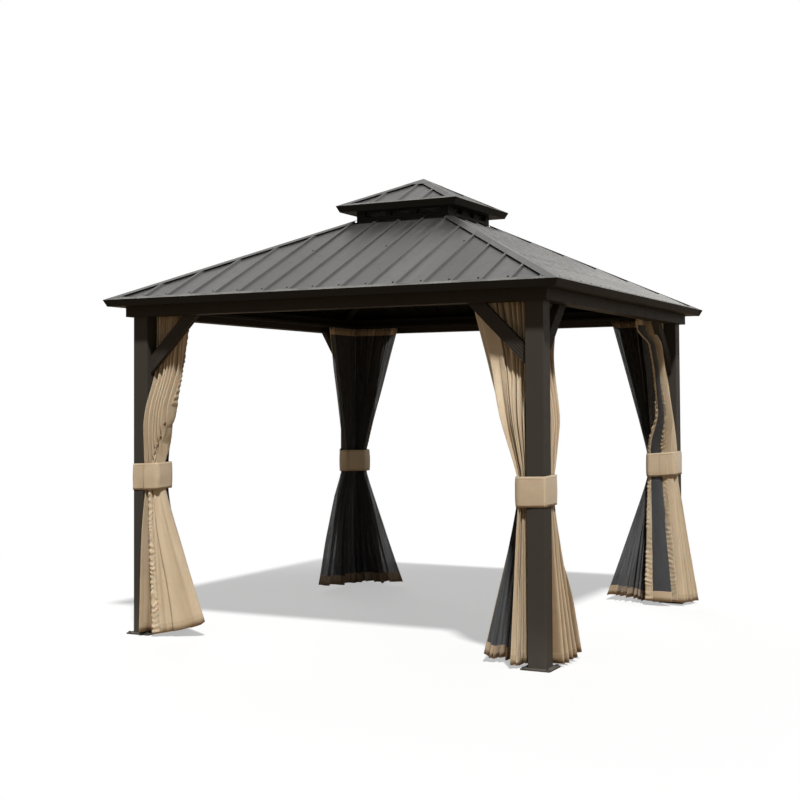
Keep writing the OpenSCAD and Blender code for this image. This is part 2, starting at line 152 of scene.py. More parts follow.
def place(tree, group, inputs):
    return put(tree, "ShaderNodeGroup", inputs, node_tree=group).outputs


# Paint: Tone is a broad drift about 1, Grain a fine orange peel and Scuff patches of dulled film
filmSet = dict(broad=1.7, grain=620.0, patch=19.0, scuff=(0.5, 0.72))


def paintGroup(s):
    group, given, out = newGroup("paintFilm", "Vector", ["Drift"], ["Tone", "Grain", "Scuff"])
    broad = noise(group, given["Vector"], s["broad"], 4.0)
    drift = calc(group, "MULTIPLY", calc(group, "SUBTRACT", broad, 0.5), given["Drift"])
    feed(group, out, {"Tone": linear(group, drift, 2.0, 1.0)})
    feed(group, out, {"Grain": noise(group, given["Vector"], s["grain"], 2.0)})
    patches = noise(group, given["Vector"], s["patch"], 3.0, 0.65)
    feed(group, out, {"Scuff": ramp(group, patches, *s["scuff"])})
    return group


# Dust: it settles on faces that look up, and splashes up from the ground to a height. On the eave trim these
# pale tops are partly painted highlight, for the sky's reflection on its lip
dustAndLitTopSet = dict(cloud=7.0, cloudy=(0.25, 0.75, 0.45, 1.0), facing=(0.55, 0.98))


def dustAndLitTopGroup(s):
    group, given, out = newGroup("settledDustAndLitTops", "Vector", ["Settled", "Splash", "Height"], ["Dust"])
    up = split(group, faceNormal(group))["Z"]
    level = split(group, given["Vector"])["Z"]
    cloudy = ramp(group, noise(group, given["Vector"], s["cloud"], 3.0, 0.6), *s["cloudy"])
    settled = calc(group, "MULTIPLY", ramp(group, up, *s["facing"]), given["Settled"])
    share = calc(group, "DIVIDE", level, given["Height"])
    low = calc(group, "POWER", calc(group, "SUBTRACT", 1.0, share, clamp=True), 2.0)
    splash = calc(group, "MULTIPLY", low, given["Splash"])
    both = calc(group, "ADD", settled, splash)
    feed(group, out, {"Dust": calc(group, "MULTIPLY", both, cloudy, clamp=True)})
    return group


# Rain streaks: noise drawn out down the slope, across X where the face looks along Y and the other way
# round; Batch is one random number for each panel between two ribs
streakSet = dict(down=0.9, streaky=(0.35, 0.7), sideNumber=31.0)


def streakGroup(s):
    group, given, out = newGroup("rainStreaks", "Vector", ["Fine", "Panel"], ["Streak", "Batch"])
    normal = split(group, faceNormal(group))
    where = split(group, given["Vector"])
    sideways = calc(group, "GREATER_THAN", *(calc(group, "ABSOLUTE", normal[axis]) for axis in "XY"))
    toY = calc(group, "SUBTRACT", where["Y"], where["X"])
    toX = calc(group, "SUBTRACT", where["X"], where["Y"])
    across = linear(group, sideways, toY, where["X"])
    down = linear(group, sideways, toX, where["Y"])
    drawn = put(group, "ShaderNodeCombineXYZ", {0: calc(group, "MULTIPLY", across, given["Fine"]),
                                                1: calc(group, "MULTIPLY", down, s["down"]),
                                                2: sideways}).outputs[0]
    feed(group, out, {"Streak": ramp(group, noise(group, drawn, 1.0, 2.0, 0.5), *s["streaky"])})
    panel = calc(group, "FLOOR", calc(group, "DIVIDE", across, given["Panel"]))
    number = linear(group, sideways, s["sideNumber"], panel)
    batch = put(group, "ShaderNodeTexWhiteNoise", {"W": number}, noise_dimensions="1D").outputs["Value"]
    feed(group, out, {"Batch": batch})
    return group


# Plain weave: threads cross every Pitch metres; Height is the rounded thread, Gap the open square between
weaveSet = dict(gap=(0.45, 0.8))


def weaveGroup(s):
    group, given, out = newGroup("plainWeave", "Cloth", ["Pitch"], ["Height", "Gap"])
    cloth = split(group, given["Cloth"])
    turns = calc(group, "DIVIDE", math.pi, given["Pitch"])
    waves = [calc(group, "SINE", calc(group, "MULTIPLY", cloth[axis], turns)) for axis in "XY"]
    warp, weft = [calc(group, "ABSOLUTE", wave) for wave in waves]
    feed(group, out, {"Height": calc(group, "MULTIPLY", warp, weft)})
    feed(group, out, {"Gap": ramp(group, calc(group, "MINIMUM", warp, weft), *s["gap"])})
    return group


# Hem: a doubled band at the top, hem and two sides of a sheet, with a dashed stitch line inside its edge
hemSet = dict(stitchIn=0.004, stitchHalf=0.0009, dashStep=0.0045, dashShare=0.65)


def hemGroup(s):
    sizes = ["Wide", "Long", "Top", "Bottom", "Side"]
    group, given, out = newGroup("sewnHem", "Cloth", sizes, ["Doubled", "Stitch"])
    cloth = split(group, given["Cloth"])
    toBottom = calc(group, "SUBTRACT", given["Long"], cloth["Y"])
    toFar = calc(group, "SUBTRACT", given["Wide"], cloth["X"])
    edges = [(cloth["Y"], given["Top"], cloth["X"]), (toBottom, given["Bottom"], cloth["X"]),
             (cloth["X"], given["Side"], cloth["Y"]), (toFar, given["Side"], cloth["Y"])]
    doubled, stitch = 0.0, 0.0
    for inward, band, along in edges:
        doubled = calc(group, "MAXIMUM", doubled, calc(group, "LESS_THAN", inward, band))
        seam = calc(group, "SUBTRACT", band, s["stitchIn"])
        off = calc(group, "ABSOLUTE", calc(group, "SUBTRACT", inward, seam))
        part = calc(group, "FRACT", calc(group, "DIVIDE", along, s["dashStep"]))
        dash = calc(group, "LESS_THAN", part, s["dashShare"])
        line = calc(group, "MULTIPLY", calc(group, "LESS_THAN", off, s["stitchHalf"]), dash)
        stitch = calc(group, "MAXIMUM", stitch, line)
    feed(group, out, {"Doubled": doubled, "Stitch": stitch})
    return group


# Creases: sharp lines where the cloth lay folded in its bag, every Step metres, over soft crumples
creaseSet = dict(worn=6.0, wornFrom=(0.4, 0.6), lineHalf=0.0035, lineHigh=0.35, drawn=(9.0, 5.0, 1.0),
                 soft=3.0)


def creaseGroup(s):
    group, given, out = newGroup("packCreases", "Cloth", ["Step"], ["Height"])
    cloth = split(group, given["Cloth"])
    worn = ramp(group, noise(group, given["Cloth"], s["worn"], 3.0), *s["wornFrom"])
    lines = 0.0
    for axis in "XY":
        part = calc(group, "FRACT", calc(group, "DIVIDE", cloth[axis], given["Step"]))
        aside = calc(group, "ABSOLUTE", calc(group, "SUBTRACT", part, 0.5))
        off = calc(group, "MULTIPLY", aside, given["Step"])
        lines = calc(group, "MAXIMUM", lines, ramp(group, off, s["lineHalf"], 0.0))
    line = calc(group, "MULTIPLY", lines, worn)
    soft = noise(group, stretch(group, given["Cloth"], s["drawn"]), s["soft"], 5.0, 0.6)
    feed(group, out, {"Height": linear(group, line, s["lineHigh"], soft)})
    return group


paintFilm, settledDustAndLitTops, rainStreaks = paintGroup(filmSet), dustAndLitTopGroup(dustAndLitTopSet), streakGroup(streakSet)
plainWeave, sewnHem, packCreases = weaveGroup(weaveSet), hemGroup(hemSet), creaseGroup(creaseSet)
print("shader groups made")


def newMaterial(name, fixed):
    material = bpy.data.materials.new(name)
    material.use_nodes = True
    tree = material.node_tree
    return material, tree, feed(tree, tree.nodes["Principled BSDF"], fixed)


def objectPlace(tree):
    return put(tree, "ShaderNodeTexCoord").outputs["Object"]


def linkBump(tree, shader, height, strength, distance):
    bump = put(tree, "ShaderNodeBump", {"Height": height, "Strength": strength, "Distance": distance})
    feed(tree, shader, {"Normal": bump.outputs["Normal"]})


# Satin powder coat: base tone with drift, dust on ledges and a splashed foot, scuffs that dull the film. The
# beams' darker copy is painted shade; on the trim the ledge dust is partly painted highlight
coatSet = dict(gloss=0.03, drift=0.16, scuff=0.12, splashHigh=0.35, peel=(0.12, 0.0004))
frameSet = dict(coatSet, base=(0.050, 0.0440, 0.0370, 1), dust=(0.13, 0.118, 0.10, 1), rough=0.50, dull=0.62,
                settled=0.35, splash=0.45)
# Painted shade: the beams take a darker copy of the frame paint, for the eave's shadow over them
shadedBeamSet = dict(coatSet, base=(0.032, 0.0275, 0.0215, 1), dust=(0.13, 0.118, 0.10, 1), rough=0.55, dull=0.62,
               settled=0.35, splash=0.0)
# On the trim the pale dust on faces that look up is partly painted highlight, for the sky's reflection on the
# top lip
trimLitLipSet = dict(coatSet, base=(0.022, 0.0204, 0.0176, 1), dust=(0.27, 0.265, 0.25, 1), rough=0.46, dull=0.50,
               settled=0.75, splash=0.0)


def framePaint(name, s):
    material, tree, shader = newMaterial(name, {"Specular IOR Level": s["gloss"]})
    spot = objectPlace(tree)
    film = place(tree, paintFilm, {"Vector": spot, "Drift": s["drift"]})
    # Dust on faces that look up; on the trim it is partly painted highlight on the lip
    dust = place(tree, settledDustAndLitTops, {"Vector": spot, "Settled": s["settled"], "Splash": s["splash"],
                                     "Height": s["splashHigh"]})["Dust"]
    toned = toneColour(tree, s["base"], film["Tone"])
    feed(tree, shader, {"Base Color": mixColour(tree, dust, toned, s["dust"])})
    rough = linear(tree, film["Scuff"], s["scuff"], s["rough"])
    dulled = linear(tree, dust, s["dull"] - s["rough"], rough)
    feed(tree, shader, {"Roughness": dulled})
    linkBump(tree, shader, film["Grain"], *s["peel"])
    return material


# Coil-coated roof sheet: satin film with rain streaks down the slope and dust on faces that look up; each
# panel has its own tone and gloss
roofSet = dict(
    base=(0.096, 0.094, 0.090, 1), streak=(0.122, 0.120, 0.116, 1), dust=(0.135, 0.132, 0.125, 1),
    rough=0.42, metal=0.8, panel=0.174, drift=0.14, fine=16.0, settled=0.22, batchTone=0.24, washed=0.5,
    streakDull=0.08, batchDull=-0.10, scuffDull=0.08,
)


def roofPaint(name, s):
    material, tree, shader = newMaterial(name, {"Metallic": s["metal"]})
    spot = objectPlace(tree)
    film = place(tree, paintFilm, {"Vector": spot, "Drift": s["drift"]})
    rain = place(tree, rainStreaks, {"Vector": spot, "Fine": s["fine"], "Panel": s["panel"]})
    dust = place(tree, settledDustAndLitTops, {"Vector": spot, "Settled": s["settled"], "Splash": 0.0,
                                     "Height": 1.0})["Dust"]
    batchTone = linear(tree, rain["Batch"], s["batchTone"], 1 - s["batchTone"] / 2)
    toned = toneColour(tree, s["base"], calc(tree, "MULTIPLY", film["Tone"], batchTone))
    washed = mixColour(tree, calc(tree, "MULTIPLY", rain["Streak"], s["washed"]), toned, s["streak"])
    feed(tree, shader, {"Base Color": mixColour(tree, dust, washed, s["dust"])})
    rough = linear(tree, rain["Streak"], s["streakDull"], s["rough"])
    rough = linear(tree, rain["Batch"], s["batchDull"], rough)
    rough = linear(tree, film["Scuff"], s["scuffDull"], rough)
    feed(tree, shader, {"Roughness": rough})
    return material


# What cloth and net share: weave, creases, sewn bands at top, hem and sides, and a slow drift of tone
def woven(tree, s, wide, long, edges):
    cloth = put(tree, "ShaderNodeUVMap", uv_map="cloth").outputs["UV"]
    weave = place(tree, plainWeave, {"Cloth": cloth, "Pitch": s["pitch"]})
    crease = place(tree, packCreases, {"Cloth": cloth, "Step": s["creaseStep"]})
    bands = dict(zip(("Top", "Bottom", "Side"), edges))
    hem = place(tree, sewnHem, {"Cloth": cloth, "Wide": wide, "Long": long, **bands})
    drift = noise(tree, stretch(tree, cloth, s["drawn"]), s["drift"], 4.0)
    return weave, crease["Height"], hem, drift


# Khaki polyester: plain weave, pack creases, sewn hems and a tone that drifts over the sheet, with painted
# shade that darkens the valleys of its folds and the gaps between its threads
khakiSet = dict(
    base=(0.575, 0.465, 0.325, 1), deep=(0.285, 0.200, 0.115, 1), thread=(0.52, 0.42, 0.30, 1),
    rough=0.52, creaseRough=0.16, pitch=0.0016, creaseStep=0.31, drawn=(2.0, 1.2, 1.0), drift=2.0,
    drifted=(0.3, 0.75, 0.0, 0.25), doubled=0.22, paintedFoldShade=1.0, start=0.12, weaveGapShade=-0.15,
    weaveHigh=0.05, hemHigh=0.25, stitchHigh=-0.30, bump=(0.55, 0.004),
)
clothShader = {"Specular IOR Level": 0.30, "Sheen Weight": 0.12, "Sheen Roughness": 0.45,
               "Subsurface Weight": 0.45, "Subsurface Radius": (1.0, 0.62, 0.36), "Subsurface Scale": 0.003}


def clothPaint(name, s, wide, long, edges):
    material, tree, shader = newMaterial(name, clothShader)
    weave, crease, hem, drift = woven(tree, s, wide, long, edges)
    depth = linear(tree, hem["Doubled"], s["doubled"], ramp(tree, drift, *s["drifted"]))
    # Painted shade: the fold mask from the sheet's geometry darkens the colour towards the deep tone
    paintedFoldShade = put(tree, "ShaderNodeAttribute", attribute_name="paintedFoldShade").outputs["Fac"]
    depth = linear(tree, paintedFoldShade, s["paintedFoldShade"], depth)
    depth = calc(tree, "ADD", depth, s["start"])
    # Painted shade in the weave: the gaps between threads come out darker than the thread crowns
    depth = linear(tree, weave["Height"], s["weaveGapShade"], depth, clamp=True)
    toned = mixColour(tree, depth, s["base"], s["deep"])
    feed(tree, shader, {"Base Color": mixColour(tree, hem["Stitch"], toned, s["thread"])})
    rough = linear(tree, crease, s["creaseRough"], s["rough"] - s["creaseRough"] / 2)
    feed(tree, shader, {"Roughness": rough})
    relief = linear(tree, weave["Height"], s["weaveHigh"], crease)
    relief = linear(tree, hem["Doubled"], s["hemHigh"], relief)
    relief = linear(tree, hem["Stitch"], s["stitchHigh"], relief)
    linkBump(tree, shader, relief, *s["bump"])
    return material


# Insect net: black threads with open squares between them, and khaki tape sewn along its top and hem
netSet = dict(
    base=(0.042, 0.043, 0.046, 1), dusty=(0.30, 0.30, 0.31, 1), tape=(0.44, 0.335, 0.220, 1),
    tapeDeep=(0.28, 0.19, 0.11, 1), open=0.40, leak=0.06, rough=0.55, driftRough=0.2, pitch=0.0018,
    creaseStep=0.33, drawn=(3.0, 1.5, 1.0), drift=2.0, dusted=(0.3, 0.8, 0.0, 0.06),
    tapeDrift=(0.3, 0.7, 0.0, 0.4), holeHigh=-0.2, hemHigh=0.3, bump=(0.4, 0.003),
)
netShader = {"Specular IOR Level": 0.35, "Sheen Weight": 0.25, "Sheen Roughness": 0.5}


def netPaint(name, s, wide, long, edges):
    material, tree, shader = newMaterial(name, netShader)
    weave, crease, hem, drift = woven(tree, s, wide, long, edges)
    black = mixColour(tree, ramp(tree, drift, *s["dusted"]), s["base"], s["dusty"])
    tapeTone = mixColour(tree, ramp(tree, drift, *s["tapeDrift"]), s["tape"], s["tapeDeep"])
    feed(tree, shader, {"Base Color": mixColour(tree, hem["Doubled"], black, tapeTone)})
    rough = linear(tree, drift, s["driftRough"], s["rough"] - s["driftRough"] / 2)
    feed(tree, shader, {"Roughness": rough})
    hole = calc(tree, "MULTIPLY", weave["Gap"], s["open"])
    solid = calc(tree, "SUBTRACT", 1.0, calc(tree, "ADD", hole, s["leak"]))
    feed(tree, shader, {"Alpha": calc(tree, "MAXIMUM", solid, hem["Doubled"])})
    relief = linear(tree, hole, s["holeHigh"], crease)
    relief = linear(tree, hem["Doubled"], s["hemHigh"], relief)
    linkBump(tree, shader, relief, *s["bump"])
    return material


# Vent mesh: the same black thread, laid out by the distance along the wall and the height
ventSet = dict(
    netSet, dusty=(0.20, 0.20, 0.20, 1), dusted=(0.3, 0.8, 0.0, 0.08), pitch=0.0024, drift=5.0, gloss=0.3,
    solid=0.97, bump=(0.3, 0.001),
)


def ventPaint(name, s):
    material, tree, shader = newMaterial(name, {"Specular IOR Level": s["gloss"]})
    spot = split(tree, objectPlace(tree))
    wall = calc(tree, "ADD", spot["X"], spot["Y"])
    flat = put(tree, "ShaderNodeCombineXYZ", {0: wall, 1: spot["Z"]}).outputs[0]
    weave = place(tree, plainWeave, {"Cloth": flat, "Pitch": s["pitch"]})
    drift = noise(tree, flat, s["drift"], 4.0)
    black = mixColour(tree, ramp(tree, drift, *s["dusted"]), s["base"], s["dusty"])
    rough = linear(tree, drift, s["driftRough"], s["rough"])
    alpha = linear(tree, weave["Gap"], -s["open"], s["solid"])
    feed(tree, shader, {"Base Color": black, "Roughness": rough, "Alpha": alpha})
    linkBump(tree, shader, weave["Height"], *s["bump"])
    return material


# Small fittings: coated steel or nylon with a worn, uneven film
fittingSet = dict(drift=0.3, wear=0.4, scuffDull=0.15, peel=(0.1, 0.0003))
steelSet = dict(fittingSet, base=(0.020, 0.019, 0.018, 1), worn=(0.16, 0.15, 0.14, 1), metal=0.3, rough=0.45)
zincSet = dict(fittingSet, base=(0.10, 0.10, 0.10, 1), worn=(0.30, 0.29, 0.27, 1), metal=0.8, rough=0.42)
nylonSet = dict(fittingSet, base=(0.030, 0.029, 0.028, 1), worn=(0.10, 0.10, 0.10, 1), metal=0.0, rough=0.5)


def fittingPaint(name, s):
    material, tree, shader = newMaterial(name, {"Metallic": s["metal"]})
    film = place(tree, paintFilm, {"Vector": objectPlace(tree), "Drift": s["drift"]})
    bare = calc(tree, "MULTIPLY", film["Scuff"], s["wear"])
    feed(tree, shader, {"Base Color": mixColour(tree, bare, s["base"], s["worn"])})
    rough = linear(tree, film["Scuff"], s["scuffDull"], s["rough"])
    feed(tree, shader, {"Roughness": rough})
    linkBump(tree, shader, film["Grain"], *s["peel"])
    return material


slotPaint = {
    "frame_paint": framePaint("framePowderCoat", frameSet),
    "roof_paint": roofPaint("roofCoilCoat", roofSet),
    "trim_paint": framePaint("trimPowderCoat", trimLitLipSet),
}
nodePaint = {"vent_net": ventPaint("ventMesh", ventSet)}
shadedBeamCoat = framePaint("beamPowderCoatShaded", shadedBeamSet)
for nodeName, part in nodes.items():
    paint = nodePaint.get(nodeName) or slotPaint.get(slotOf[nodeName])
    # Painted shade: the beams get the darker copy of the frame paint
    if nodeName.startswith("beam_"):
        paint = shadedBeamCoat
    if paint:
        part.data.materials.clear()
        part.data.materials.append(paint)
print("frame, roof and trim painted")


# Value noise: random numbers on a lattice joined by a smooth step, from -1 to 1
def valueNoise(x, y, seed, cells=97):
    lattice = np.random.default_rng(seed).uniform(-1, 1, (cells, cells))
    column, row = np.floor(x).astype(int), np.floor(y).astype(int)
    fx, fy = x - column, y - row
    fx, fy = fx * fx * (3 - 2 * fx), fy * fy * (3 - 2 * fy)
    a, b = lattice[column % cells, row % cells], lattice[(column + 1) % cells, row % cells]
    c, d = lattice[column % cells, (row + 1) % cells], lattice[(column + 1) % cells, (row + 1) % cells]
    return (a * (1 - fx) + b * fx) * (1 - fy) + (c * (1 - fx) + d * fx) * fy


def smoothStep(x):
    x = np.clip(x, 0, 1)
    return x * x * (3 - 2 * x)


# Quads between the neighbours of a grid of points; wrap joins the last column to the first
def gridQuads(rows, cols, wrap=False):
    index = np.arange(rows * cols).reshape(rows, cols)
    beside = np.roll(index, -1, axis=1)
    here, right = (index, beside) if wrap else (index[:, :-1], beside[:, :-1])
    return np.stack([here[:-1], right[:-1], right[1:], here[1:]], axis=-1).reshape(-1, 4)


def newPiece(name, points, faces, material, uv=None, paintedFoldShade=None, smooth=True):
    mesh = bpy.data.meshes.new(name)
    mesh.from_pydata(points.reshape(-1, 3).tolist(), [], faces)
    if uv is not None:
        corners = np.empty(len(mesh.loops), np.int32)
        mesh.loops.foreach_get("vertex_index", corners)
        layer = mesh.uv_layers.new(name="cloth")
        layer.data.foreach_set("uv", uv.reshape(-1, 2)[corners].astype(np.float32).ravel())
    # The mask of painted fold shade is kept on each point for the cloth's colour
    if paintedFoldShade is not None:
        values = mesh.attributes.new("paintedFoldShade", "FLOAT", "POINT").data
        values.foreach_set("value", paintedFoldShade.astype(np.float32).ravel())
    mesh.polygons.foreach_set("use_smooth", np.full(len(mesh.polygons), smooth))
    mesh.materials.append(material)
    piece = bpy.data.objects.new(name, mesh)
    scene.collection.objects.link(piece)
    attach(piece, "root")
    return piece


def thicken(piece, thickness):
    shell = piece.modifiers.new("thickness", "SOLIDIFY")
    shell.thickness, shell.offset = thickness, 0.0
    return piece


# Walls: r runs along a wall from its middle towards the corner, d outward from the gazebo's middle
def onWall(side, sign, r, d, z):
    x = {"front": sign * r, "back": sign * r, "right": d, "left": -d}[side]
    y = {"front": -d, "back": d, "right": sign * r, "left": sign * r}[side]
    return np.stack(np.broadcast_arrays(x, y, z), axis=-1)


# At each corner, the wall that runs along x and the one along y, with the corner's sign on each
cornerSides = {
    "front_right": (("front", 1), ("right", -1)), "back_right": (("back", 1), ("right", 1)),
    "back_left": (("back", -1), ("left", 1)), "front_left": (("front", -1), ("left", -1)),
}

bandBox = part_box("tie_band_front_right")
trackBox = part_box("curtain_tracks")
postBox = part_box("post_front_right")
clothSet = dict(
    top=trackBox[0].z - 0.002, waist=(bandBox[0].z + bandBox[1].z) / 2, hem=0.022, hemWave=0.010, hemCells=9,
    soften=0.10, rows=58, long=1.99, postIn=postBox[0].x - 0.008, postOut=postBox[1].x + 0.004,
)
# A ring is r at the near and far end, d at the near and far end, and the folds' half depth; a sheet has one
# each at its top, waist and hem. Hold and drop are how far below the track its depth stays and then changes
curtainSet = dict(
    folds=7.5, cols=170, wide=1.27, thick=0.0012, belly=0.012, hold=0.28, drop=0.45, paired=0.70, upper=0.0,
    flare=1.0, lag=0.0, skew=0.25, calm=0.2, lap=None, cap=None, lift=0.01, tape=0.6,
    rings=((1.246, 0.930, 1.261, 1.261, 0.027), (1.252, 1.185, 1.310, 1.310, 0.052),
           (1.250, 0.950, 1.345, 1.315, 0.066)),
)
netSheetSet = dict(
    folds=13.0, cols=210, wide=1.25, thick=0.0008, belly=0.0, hold=0.0, drop=0.45, paired=0.80, upper=0.0,
    flare=1.0, lag=0.0, skew=0.45, calm=0.75, lap=None, cap=None, lift=0.02, tape=0.0,
    rings=((1.206, 0.900, 1.212, 1.212, 0.021), (1.206, 1.152, 1.213, 1.213, 0.022),
           (1.140, 0.850, 1.170, 1.205, 0.050)),
)
# What differs from sheet to sheet: where its ends hang, a leading part lapped back over the folds (share of
# the cloth, how far back, height it starts from) or turned across them (share of the cloth, half widths at
# top, waist and hem, how far out it stands between)
curtainShapes = {
    ("front_right", "front"): dict(folds=14.0, cols=270, belly=0.020, paired=0.5, upper=0.70, tape=0.15,
                                   lap=(0.17, 0.45, 2.60), rings=(
        (1.246, 0.905, 1.261, 1.261, 0.024), (1.252, 1.210, 1.308, 1.312, 0.046),
        (1.252, 1.160, 1.318, 1.352, 0.052))),
    ("front_right", "right"): dict(folds=4.6, paired=0.0, calm=0.0, lag=1.40, tape=0.0, rings=(
        (1.246, 0.915, 1.261, 1.261, 0.027), (1.252, 1.180, 1.302, 1.300, 0.062),
        (1.254, 0.960, 1.338, 1.362, 0.085))),
    ("front_left", "front"): dict(folds=14.2, cols=270, upper=0.70, tape=1.0, lap=(0.30, 0.74, 1.52),
                                  lift=0.075, rings=(
        (1.250, 1.022, 1.261, 1.261, 0.026), (1.258, 1.174, 1.345, 1.300, 0.044),
        (1.270, 0.858, 1.395, 1.258, 0.050))),
    ("front_left", "left"): dict(rings=(
        (1.246, 1.020, 1.261, 1.261, 0.027), (1.252, 1.190, 1.310, 1.310, 0.052),
        (1.250, 1.000, 1.345, 1.315, 0.066))),
    ("back_right", "right"): dict(folds=13.0, cols=240, hold=0.10, drop=0.90, paired=0.4,
                                  cap=(0.10, 0.050, 0.048, 0.066, 0.045), rings=(
        (1.246, 0.990, 1.264, 1.264, 0.024), (1.252, 1.196, 1.342, 1.324, 0.032),
        (1.315, 1.150, 1.455, 1.405, 0.042))),
    ("back_left", "back"): dict(rings=(
        (1.246, 0.970, 1.261, 1.261, 0.027), (1.252, 1.190, 1.306, 1.306, 0.050),
        (1.250, 0.990, 1.345, 1.315, 0.066))),
    ("back_left", "left"): dict(folds=13.5, cols=240, hold=0.0, drop=0.95, rings=(
        (1.246, 1.080, 1.261, 1.261, 0.022), (1.252, 1.210, 1.264, 1.264, 0.022),
        (1.250, 1.150, 1.270, 1.270, 0.038))),
}
netShapes = {
    ("front_right", "front"): dict(folds=15.0, rings=(
        (1.206, 0.925, 1.212, 1.212, 0.021), (1.206, 1.160, 1.213, 1.213, 0.022),
        (1.150, 0.970, 1.195, 1.285, 0.040))),
    ("front_left", "front"): dict(folds=19.0, rings=(
        (1.206, 1.090, 1.212, 1.212, 0.021), (1.248, 1.232, 1.216, 1.216, 0.016),
        (1.200, 1.090, 1.175, 1.175, 0.036))),
    ("front_left", "left"): dict(folds=19.0, rings=(
        (1.206, 1.060, 1.212, 1.212, 0.021), (1.248, 1.232, 1.216, 1.216, 0.016),
        (1.200, 1.020, 1.175, 1.175, 0.036))),
    ("back_right", "back"): dict(rings=(
        (1.206, 0.912, 1.212, 1.212, 0.021), (1.206, 1.178, 1.213, 1.213, 0.020),
        (1.140, 0.844, 1.170, 1.205, 0.050))),
    ("back_right", "right"): dict(folds=16.0, calm=0.0, tape=0.7,
                                  cap=(0.17, 0.024, 0.050, 0.112, 0.07), rings=(
        (1.206, 0.905, 1.212, 1.212, 0.021), (1.206, 1.188, 1.216, 1.230, 0.020),
        (1.165, 1.085, 1.230, 1.290, 0.040))),
    ("back_left", "back"): dict(rings=(
        (1.212, 0.825, 1.212, 1.212, 0.021), (1.216, 1.126, 1.214, 1.216, 0.020),
        (1.205, 0.788, 1.190, 1.210, 0.050))),
    ("back_left", "left"): dict(flare=0.68, folds=14.0, rings=(
        (1.212, 0.850, 1.212, 1.212, 0.021), (1.216, 1.070, 1.214, 1.216, 0.020),
        (1.205, 0.690, 1.190, 1.235, 0.050))),
}


# Size of a ring at height z: its ends run straight from the waist to the top and to the hem, rounded off at
# the waist, with a belly at the far end; its depth grows to the waist's within a short drop below the track
def ringAt(s, shape, z):
    soften = s["soften"]

    def grow(q):
        return (np.sqrt(q * q + soften ** 2) - soften) / (math.sqrt(1 + soften ** 2) - soften)

    rise = np.clip((z - s["waist"]) / (s["top"] - s["waist"]), 0, 1)
    down = grow(np.clip((s["waist"] - z) / (s["waist"] - s["hem"]), 0, 1))
    ups = [grow(rise)] * 2 + [1 - smoothStep((s["top"] - z - shape["hold"]) / shape["drop"])] * 3
    top, waist, hem = (np.array(ring) for ring in shape["rings"])
    downs = [down, down ** shape["flare"], down, down, down]
    ring = [waist[k] + (top[k] - waist[k]) * ups[k] + (hem[k] - waist[k]) * downs[k] for k in range(5)]
    ring[1] = ring[1] - shape["belly"] * np.sin(math.pi * rise)
    return ring


# Ridged noise: sharp creases where value noise crosses zero, from 0 to 1
def ridges(x, y, seed):
    return (1 - np.abs(valueNoise(x, y, seed))) ** 4


# Folds: lengths and heights in metres, the rest are shares of a fold's depth, of a fold or of the cloth. Each
# From is where a change starts and the Over after it how far it takes; numbers in valueNoise are its cells
foldSet = dict(
    uneven=((0.030, 1.7, 0.37), (0.012, 4.3, 0.61)), wander=0.20, vary=0.14, slack=0.9, bodyOver=0.5,
    tight=0.20, pairFrom=0.10, pairOver=0.5, fuller=0.8, fullFrom=1.66, fullOver=0.25, calmFrom=0.72,
    calmOver=0.2, crumple=0.0030, crease=0.0030, crumpleFree=0.55, crumpleTied=0.9, paintedFoldShadeFrom=0.15,
    paintedFoldShadeOver=0.9,
)
lapSet = dict(rise=0.62, turn=0.05, fade=0.10, high=0.62, off=0.012, wave=0.15, phase=1.3, press=0.55,
              pleat=0.030, pleatAt=0.47, pleatSway=0.02, pleatTurns=5, pleatWide=0.035)
capSet = dict(turn=0.02, wideFrom=1.55, wideOver=0.45, outFrom=0.08, outOver=0.12, inFrom=0.1, inOver=0.3,
              back=0.008, bow=0.012)


# Share of the way from the near to the far end; a lapped leading part turns back towards the near end
def wayAcross(shape, t, z):
    s = lapSet
    share, back, lapFrom = shape["lap"] or (1e-6, 0.0, 0.0)
    lapped = smoothStep((lapFrom - z) / s["rise"])
    turnAt = 1 - share * lapped
    way = np.where(t < turnAt, t / turnAt, 1 - back * (t - turnAt) / share)
    over = smoothStep((t - turnAt) / s["turn"]) * lapped
    under = smoothStep((way - 1 + back * lapped) / s["fade"]) * lapped
    return way, over, under


# How far the lapped part stands out: over the folds below it, with waves twice as broad and one pressed pleat
def lapDepth(s, half, phase, way, skirt, z):
    pleatAt = s["pleatAt"] + s["pleatSway"] * np.sin(s["pleatTurns"] * z)
    pleat = s["pleat"] * skirt * np.exp(-((way - pleatAt) / s["pleatWide"]) ** 2)
    return s["high"] * half + s["off"] + s["wave"] * half * np.sin(phase * 0.5 + s["phase"]) - pleat


# A turned leading part: a strip square to the wall that widens from top to hem and bows a little
def capStrip(s, shape, t, z, far, farOut):
    share, topHalf, waistHalf, hemHalf, out = shape["cap"] or (1e-6, 0.0, 0.0, 0.0, 0.0)
    top, waist, hem = (clothSet[k] for k in ("top", "waist", "hem"))
    turned = smoothStep((t - 1 + share) / s["turn"])
    ahead = np.clip((t - 1 + share) / share, 0, 1)
    below = np.clip((waist - z) / (waist - hem), 0, 1)
    wide = topHalf + (waistHalf - topHalf) * smoothStep((s["wideFrom"] - z) / s["wideOver"])
    wide = wide + (hemHalf - waistHalf) * below
    out = out * smoothStep((top - z - s["outFrom"]) / s["outOver"])
    out = out * smoothStep((z - waist - s["inFrom"]) / s["inOver"])
    stripAlong = far - s["back"] - s["bow"] * np.sin(math.pi * ahead)
    return turned, stripAlong, farOut + out + wide - 2 * wide * ahead
